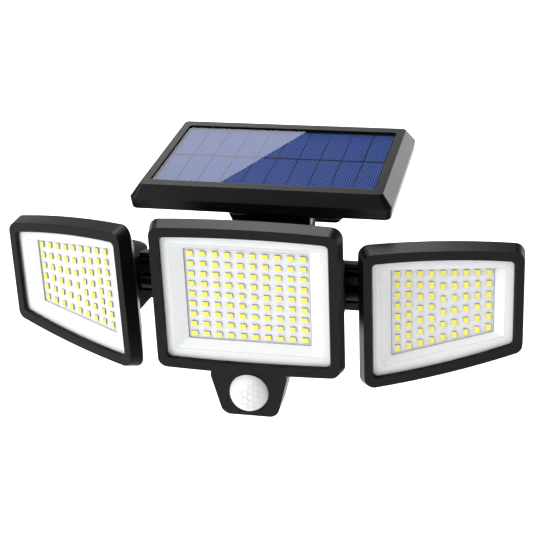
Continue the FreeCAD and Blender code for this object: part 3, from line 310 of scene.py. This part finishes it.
def solar_silicon(slant):
    """Blue cells with pale collector fingers that run from front to back, and faint rows."""
    s = Shader("solar_silicon")
    turn = s.add("ShaderNodeVectorRotate", rotation_type="X_AXIS")
    turn.inputs["Angle"].default_value = -slant
    s.join(s.place, turn.inputs["Vector"])
    x, y, _ = s.split(turn.outputs["Vector"])
    low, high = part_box("solar_cells")
    pitch = (high.x - low.x) / CELL_COLUMNS / FINGERS_PER_CELL
    across = s.math("FRACT", s.math("DIVIDE", s.math("SUBTRACT", x, low.x), pitch))
    finger = s.spread(s.math("ABSOLUTE", s.math("SUBTRACT", across, 0.5)), 1.0, 0.0, 0.14, 0.30)
    along = s.math("FRACT", s.math("DIVIDE", y, CELL_ROW_PITCH))
    row = s.spread(s.math("ABSOLUTE", s.math("SUBTRACT", along, 0.5)), 0.22, 0.0, 0.12, 0.30)
    grain = s.noise(220.0, 4.0)
    blue = s.mix(grain, (0.0003, 0.001, 0.012, 1), (0.0006, 0.002, 0.020, 1))
    rows = s.mix(row, blue, (0.004, 0.020, 0.115, 1))
    strips = s.mix(finger, rows, (0.015, 0.060, 0.285, 1))
    column = s.math("FRACT", s.math("DIVIDE", s.math("SUBTRACT", x, low.x), pitch * FINGERS_PER_CELL))
    rim = s.math("ABSOLUTE", s.math("SUBTRACT", column, 0.5))
    columns = s.mix(s.spread(rim, 0.0, 1.0, *CELL_GAP), strips, CELL_BLACK)
    middle = (Matrix.Rotation(-slant, 3, "X") @ ((low + high) / 2)).y
    seam = s.math("ABSOLUTE", s.math("SUBTRACT", y, middle))
    lines = s.mix(s.spread(seam, 1.0, 0.0, *CELL_SEAM), columns, CELL_BLACK)
    s.join(lines, s.base.inputs["Base Color"])
    s.set(Roughness=0.45, Specular_IOR_Level=0.10)
    return s.material


def backing_film():
    s = Shader("backing_film")
    s.paint(300.0, (0.004, 0.004, 0.006, 1), (0.008, 0.008, 0.011, 1))
    s.set(Roughness=0.5, Specular_IOR_Level=0.10)
    return s.material


def lens_white():
    s = Shader("lens_white")
    s.paint(60.0, grey(0.70), grey(0.76))
    s.join(s.bump(s.noise(900.0), 0.02, 0.05 * MM), s.base.inputs["Normal"])
    s.set(Roughness=0.25)
    return s.material


def zinc_steel(name, dull, bright):
    s = Shader(name)
    marks = s.noise(700.0, 4.0)
    s.join(s.mix(marks, grey(dull), grey(bright)), s.base.inputs["Base Color"])
    s.join(s.spread(marks, 0.28, 0.44), s.base.inputs["Roughness"])
    s.join(s.bump(marks, 0.08, 0.05 * MM, s.rounded(0.15 * MM)), s.base.inputs["Normal"])
    s.set(Metallic=1.0)
    return s.material


def green_resist():
    s = Shader("green_resist")
    track = s.tracks(220.0, 0.03, 0.07)
    s.join(s.mix(track, (0.10, 0.32, 0.12, 1), (0.02, 0.13, 0.05, 1)), s.base.inputs["Base Color"])
    s.set(Roughness=0.3)
    return s.material


def shrink_sleeve():
    s = Shader("shrink_sleeve")
    s.paint(50.0, (0.02, 0.10, 0.30, 1), (0.03, 0.13, 0.36, 1))
    s.set(Roughness=0.22)
    return s.material


def soft_rubber():
    s = Shader("soft_rubber")
    s.paint(80.0, grey(0.030), grey(0.042))
    s.join(s.bump(s.noise(2200.0), 0.12, 0.15 * MM, s.rounded(0.4 * MM)), s.base.inputs["Normal"])
    s.set(Roughness=0.62)
    return s.material


# ================================================================ pieces
def new_piece(name, mesh, materials, body, *stands_for):
    piece = bpy.data.objects.new(name, mesh)
    bpy.context.scene.collection.objects.link(piece)
    for material in materials:
        mesh.materials.append(material)
    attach(piece, body)
    if stands_for:
        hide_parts(*stands_for)
    return piece


def islands(node):
    """The separate solids of a CAD node, as lists of corner points."""
    bm = bmesh.new()
    bm.from_mesh(NODES[node].data)
    bmesh.ops.remove_doubles(bm, verts=bm.verts, dist=1e-6)
    seen, groups = set(), []
    for start in bm.verts:
        if start in seen:
            continue
        seen.add(start)
        stack, group = [start], []
        while stack:
            vert = stack.pop()
            group.append(vert.co.copy())
            for edge in vert.link_edges:
                other = edge.other_vert(vert)
                if other not in seen:
                    seen.add(other)
                    stack.append(other)
        groups.append(group)
    bm.free()
    return groups


def block_axes(points, normal, upward):
    """Centre, axes and half sizes of a box-shaped solid; the last axis is its normal."""
    centre = sum(points, Vector()) / len(points)
    across = upward.cross(normal).normalized()
    axes = (across, upward, normal)
    halves = [max((p - centre).dot(axis) for p in points) for axis in axes]
    return centre, axes, halves


def rounded_rectangle(half_u, half_v, radius, steps=3):
    points = []
    for quarter in range(4):
        cu = (half_u - radius) * (1 if quarter in (0, 3) else -1)
        cv = (half_v - radius) * (1 if quarter in (0, 1) else -1)
        for step in range(steps + 1):
            angle = math.radians(90 * quarter + 90 * step / steps)
            points.append((cu + radius * math.cos(angle), cv + radius * math.sin(angle)))
    return points


def led_array(side, body, normal, upward):
    """LEDs with a grey-violet moulded case and a crowned yellow phosphor face."""
    bm = bmesh.new()
    for points in islands(side + "_leds"):
        centre, (u, v, n), (hu, hv, hn) = block_axes(points, normal, upward)
        rings = []
        for inset, level in ((0.0, -1.0), (0.0, LED_CASE_TOP), (LED_CHAMFER, 1.0),
                             (LED_FACE_INSET, 1.0)):
            outline = rounded_rectangle(hu - inset, hv - inset, LED_CORNER)
            rings.append([bm.verts.new(centre + u * a + v * b + n * hn * level) for a, b in outline])
        count = len(rings[0])
        for depth, (low, high) in enumerate(zip(rings[:-1], rings[1:])):
            for i in range(count):
                j = (i + 1) % count
                face = bm.faces.new((low[i], low[j], high[j], high[i]))
                face.material_index = 0 if depth < 1 else 1
        bm.faces.new(list(reversed(rings[0])))
        bm.faces.new(rings[-1]).material_index = 1
    mesh = bpy.data.meshes.new(side + "_led_array")
    bm.to_mesh(mesh)
    bm.free()
    piece = new_piece(side + "_led_array", mesh, (MATERIALS["package"], MATERIALS["phosphor"]), body,
                      side + "_leds")


def clear_piece(node, body, normal, material):
    """Clear sheet in place of a CAD plate, a hair thinner, so that its back lies free."""
    mesh = NODES[node].data.copy()
    mesh.name = node + "_sheet"
    face = max(v.co.dot(normal) for v in mesh.vertices)
    for vertex in mesh.vertices:
        depth = face - vertex.co.dot(normal)
        vertex.co = vertex.co + normal * depth * (1 - COVER_KEPT)
    mesh.materials.clear()
    piece = new_piece(node + "_sheet", mesh, (MATERIALS[material],), body, node)


def hexagon_distance(a, b, pitch):
    """Distance in metres from a point to the nearest edge of a grid of hexagons."""
    row = pitch * math.sqrt(3) / 2
    best = []
    middle = round(b / row)
    for j in (middle - 1, middle, middle + 1):
        shifted = 0.5 * pitch * (j % 2)
        i = round((a - shifted) / pitch)
        for k in (i - 1, i, i + 1):
            best.append(math.hypot(a - shifted - k * pitch, b - j * row))
    best.sort()
    return (best[1] - best[0]) / 2


def sensor_lens(tilt):
    """Dome of the motion sensor, faceted in hexagons, on the collar of the CAD lens."""
    node = NODES["pir_lens"]
    untilt = Matrix.Rotation(-tilt, 4, "X")
    points = [untilt @ v.co for v in node.data.vertices]
    front = min(p.y for p in points)
    centre_x = (min(p.x for p in points) + max(p.x for p in points)) / 2
    centre_z = (min(p.z for p in points) + max(p.z for p in points)) / 2
    ball = (LENS_RADIUS ** 2 + LENS_RISE ** 2) / (2 * LENS_RISE)
    shell = bmesh.new()
    rows = []
    for r in range(LENS_RINGS + 1):
        reach = LENS_RADIUS * r / LENS_RINGS
        row = []
        for t in range(LENS_TURNS if r else 1):
            angle = 2 * math.pi * t / LENS_TURNS
            a, b = reach * math.cos(angle), reach * math.sin(angle)
            depth = ball - math.sqrt(ball ** 2 - reach ** 2)
            arc = ball * math.asin(reach / ball) / max(reach, 1e-9)
            edge = hexagon_distance(b * arc, a * arc, LENS_CELL)
            groove = max(0.0, 1 - edge / LENS_GROOVE_HALF) ** 1.5 * LENS_GROOVE
            if r == LENS_RINGS:
                groove = 0.0
            place = Vector((centre_x + a, front + depth + groove, centre_z + b))
            row.append(shell.verts.new(untilt.inverted() @ place))
        rows.append(row)
    for r in range(LENS_RINGS):
        for t in range(LENS_TURNS):
            u = (t + 1) % LENS_TURNS
            if r == 0:
                shell.faces.new((rows[0][0], rows[1][u], rows[1][t]))
            else:
                shell.faces.new((rows[r][t], rows[r][u], rows[r + 1][u], rows[r + 1][t]))
    # collar behind the dome
    edge = rows[-1]
    back = untilt.inverted() @ Vector((0, LENS_COLLAR, 0))
    skirt = [shell.verts.new(v.co + back) for v in edge]
    for t in range(LENS_TURNS):
        u = (t + 1) % LENS_TURNS
        shell.faces.new((edge[t], edge[u], skirt[u], skirt[t]))
    bmesh.ops.recalc_face_normals(shell, faces=shell.faces)
    mesh = bpy.data.meshes.new("sensor_lens")
    shell.to_mesh(mesh)
    shell.free()
    for polygon in mesh.polygons:
        polygon.use_smooth = True
    piece = new_piece("sensor_lens", mesh, (MATERIALS["lens"],), "centre_head", "pir_lens")


# ================================================================ camera and studio
def camera_rotation():
    return Matrix.Rotation(math.radians(CAMERA_TURN), 4, "Z") @ Matrix.Rotation(
        math.radians(90 - CAMERA_DIP), 4, "X")


def make_camera():
    data = bpy.data.cameras.new("camera")
    data.lens = CAMERA_LENS
    data.sensor_width = CAMERA_SENSOR
    data.clip_start = 0.01
    camera = bpy.data.objects.new("camera", data)
    bpy.context.scene.collection.objects.link(camera)
    camera.matrix_world = Matrix.Translation(CAMERA_AT) @ camera_rotation()
    bpy.context.scene.camera = camera


def photo_ray(pixel):
    """Direction from the camera through a point of the photograph."""
    reach = CAMERA_LENS / CAMERA_SENSOR * PHOTO_SIZE
    x, y = pixel[0] - PHOTO_SIZE / 2, PHOTO_SIZE / 2 - pixel[1]
    return (camera_rotation().to_3x3() @ Vector((x, y, -reach))).normalized()


def area_light(name, place, size, power):
    data = bpy.data.lights.new(name, "AREA")
    data.size = size
    data.energy = power
    lamp = bpy.data.objects.new(name, data)
    bpy.context.scene.collection.objects.link(lamp)
    aim = (Vector(LIT_POINT) - Vector(place)).to_track_quat("-Z", "Y")
    lamp.matrix_world = Matrix.Translation(place) @ aim.to_matrix().to_4x4()


def glare_card(slant):
    """Lit card behind the object. The panel's glass mirrors it up to a slanted edge."""
    normal = Matrix.Rotation(slant, 3, "X") @ Vector((0, 0, 1))
    low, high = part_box("panel_glass")
    on_glass = (low + high) / 2 + normal * GLASS_HALF
    corners = []
    for pixel in (GLARE_BACK, GLARE_FRONT):
        ray = photo_ray(pixel)
        hit = CAMERA_AT + ray * ((on_glass - CAMERA_AT).dot(normal) / ray.dot(normal))
        mirrored = ray - 2 * ray.dot(normal) * normal
        corners.append(hit + mirrored * CARD_AWAY)
    back_end, front_end = corners
    along = (front_end - back_end).normalized()
    middle_ray = (photo_ray(GLARE_BACK) + photo_ray(GLARE_FRONT)).normalized()
    facing = -(middle_ray - 2 * middle_ray.dot(normal) * normal)
    outward = along.cross(facing).normalized()
    if outward.x > 0:
        outward = -outward
    length = (front_end - back_end).length + 2 * CARD_OVERSHOOT
    centre = (back_end + front_end) / 2 + outward * CARD_WIDTH / 2
    axis_z = outward.cross(along).normalized()
    if axis_z.dot(facing) > 0:
        along = -along
        axis_z = -axis_z
    data = bpy.data.lights.new("card", "AREA")
    data.shape = "RECTANGLE"
    data.size, data.size_y = CARD_WIDTH, length
    data.energy = CARD_LEVEL * math.pi * CARD_WIDTH * length
    card = bpy.data.objects.new("card", data)
    bpy.context.scene.collection.objects.link(card)
    turn = Matrix((outward, along, axis_z)).transposed().to_4x4()
    card.matrix_world = Matrix.Translation(centre) @ turn


def seen_rays(nodes, links):
    """1 for rays that show a thing itself: from the camera, off gloss or through glass."""
    path = nodes.new("ShaderNodeLightPath")
    most = path.outputs["Is Camera Ray"]
    for name in ("Is Glossy Ray", "Is Transmission Ray"):
        larger = nodes.new("ShaderNodeMath")
        larger.operation = "MAXIMUM"
        links.new(most, larger.inputs[0])
        links.new(path.outputs[name], larger.inputs[1])
        most = larger.outputs["Value"]
    return most, path.outputs["Is Camera Ray"]


def make_world():
    """White sweep behind the object, a dark ceiling above it, and plain light all round."""
    world = bpy.data.worlds.new("studio")
    world.use_nodes = True
    bpy.context.scene.world = world
    nodes, links = world.node_tree.nodes, world.node_tree.links
    background = nodes["Background"]
    seen, camera_ray = seen_rays(nodes, links)
    split = nodes.new("ShaderNodeSeparateXYZ")
    links.new(nodes.new("ShaderNodeTexCoord").outputs["Generated"], split.inputs["Vector"])
    sweep = nodes.new("ShaderNodeMapRange")
    for key, value in (("From Min", SWEEP_TOP), ("From Max", CEILING_START), ("To Min", 1.0),
                       ("To Max", CEILING_LEVEL)):
        sweep.inputs[key].default_value = value
    links.new(split.outputs["Z"], sweep.inputs["Value"])
    last = None
    for factor, high in ((seen, sweep.outputs["Result"]), (camera_ray, None)):
        step = nodes.new("ShaderNodeMapRange")
        step.inputs["To Min"].default_value = WORLD_LEVEL
        step.inputs["To Max"].default_value = 1.0
        links.new(factor, step.inputs["Value"])
        if high:
            links.new(high, step.inputs["To Max"])
        if last:
            links.new(last, step.inputs["To Min"])
        last = step.outputs["Result"]
    links.new(last, background.inputs["Strength"])
    background.inputs["Color"].default_value = grey(1.0)


def make_floor():
    low = CAD_BOX[0].z - FLOOR_DROP
    mesh = bpy.data.meshes.new("floor")
    corners = [(-1, -1), (1, -1), (1, 1), (-1, 1)]
    mesh.from_pydata([(x * FLOOR_HALF, y * FLOOR_HALF, low) for x, y in corners], [], [(0, 1, 2, 3)])
    floor = bpy.data.objects.new("floor", mesh)
    bpy.context.scene.collection.objects.link(floor)
    s = Shader("floor_paper")
    s.paint(6.0, grey(0.78), grey(0.80))
    s.set(Roughness=0.9, Specular_IOR_Level=0.1)
    seen, _ = seen_rays(s.tree.nodes, s.tree.links)
    away = s.add("ShaderNodeVectorMath", operation="LENGTH")
    s.join(s.place, away.inputs[0])
    glow = s.spread(away.outputs["Value"], FLOOR_GLOW_NEAR, FLOOR_GLOW_FAR, GLOW_START, GLOW_END)
    s.base.inputs["Emission Color"].default_value = grey(1.0)
    s.join(s.math("MULTIPLY", seen, glow), s.base.inputs["Emission Strength"])
    mesh.materials.append(s.material)


# ================================================================ build
def angle_of(joint):
    """Forward tilt of a joint's upright axis, in radians."""
    axis = Vector(JOINTS[joint]["axis"])
    return math.atan2(-axis.y, axis.z)


HEAD_SLANT = angle_of("right_pan")
PANEL_SLANT = math.radians(PANEL_TILT)

MATERIALS = {
    "shell": moulded_plastic("black_shell", (0.0032, 0.0032, 0.0034), 0.36),
    "bezel": moulded_plastic("black_bezel", (0.0032, 0.0032, 0.0034), 0.30),
    "bracket": moulded_plastic("black_bracket", (0.0030, 0.0030, 0.0032), 0.60, 0.04),
    "cap": moulded_plastic("black_cap", (0.0030, 0.0030, 0.0032), 0.62, 0.08),
    "cover": clear_sheet("clear_cover", (0.97, 0.975, 0.98, 1), 0.8),
    "reflector": white_plastic(),
    "board": board_white(),
    "package": led_package(),
    "phosphor": phosphor(),
    "silicon": solar_silicon(PANEL_SLANT),
    "glass": clear_sheet("panel_glass", (0.97, 0.98, 0.99, 1), 1.0),
    "film": backing_film(),
    "lens": lens_white(),
    "steel": zinc_steel("zinc_steel", 0.42, 0.58),
    "blackened": zinc_steel("blackened_steel", 0.010, 0.020),
    "green": green_resist(),
    "sleeve": shrink_sleeve(),
    "rubber": soft_rubber(),
}
SLOT_MATERIALS = {
    "black_shell": "shell", "panel_bezel": "bezel", "bracket_black": "bracket",
    "clear_cover": "cover", "white_reflector": "reflector", "circuit_board": "board",
    "led": "phosphor", "solar_cell": "silicon", "panel_glass": "glass", "backsheet": "film",
    "white_lens": "lens", "green_board": "green", "steel": "steel", "sensor_can": "steel",
    "battery_wrap": "sleeve", "button_rubber": "rubber",
}


def dress_nodes():
    for entry in frame["record"]["subparts"]:
        node = NODES[entry["node"]]
        material = MATERIALS[SLOT_MATERIALS[entry["material_slot"]]]
        if entry["node"].endswith("_pivot_cap"):
            material = MATERIALS["cap"]
        if "hinge" in entry["node"] and entry["material_slot"] == "steel":
            material = MATERIALS["blackened"]
        node.data.materials.clear()
        node.data.materials.append(material)


def face_axes(side):
    """Outward normal and upward direction of a lamp head's front."""
    if side == "centre":
        turn = Matrix.Rotation(HEAD_SLANT, 3, "X")
        return turn @ Vector((0, -1, 0)), turn @ Vector((0, 0, 1))
    hinge = Vector(JOINTS[side + "_tilt"]["axis"])
    normal = -Vector(JOINTS["right_twist"]["axis"]) if side == "right" else Vector(
        JOINTS["left_twist"]["axis"])
    upward = normal.cross(hinge).normalized()
    if upward.z < 0:
        upward = -upward
    if side == "left":
        upward = Matrix.Rotation(math.radians(LEFT_TWIST), 3, normal) @ upward
    return normal, upward


make_camera()
dress_nodes()
led_array("centre", "centre_head", *face_axes("centre"))
for side in SIDES:
    led_array(side, side + "_head", *face_axes(side))
sensor_lens(HEAD_SLANT)
clear_piece("panel_glass", "panel", Matrix.Rotation(PANEL_SLANT, 3, "X") @ Vector((0, 0, 1)),
            "glass")
for side, body in (("centre", "centre_head"), ("left", "left_head"), ("right", "right_head")):
    clear_piece(side + "_cover", body, face_axes(side)[0], "cover")

make_world()
make_floor()
area_light("top_light", TOP_AT, TOP_SIZE, TOP_POWER)
area_light("front_light", FRONT_AT, FRONT_SIZE, FRONT_POWER)
area_light("rim_light", RIM_AT, RIM_SIZE, RIM_POWER)
area_light("edge_light", EDGE_AT, EDGE_SIZE, EDGE_POWER)
glare_card(PANEL_SLANT)
bpy.context.scene.view_settings.view_transform = "Standard"
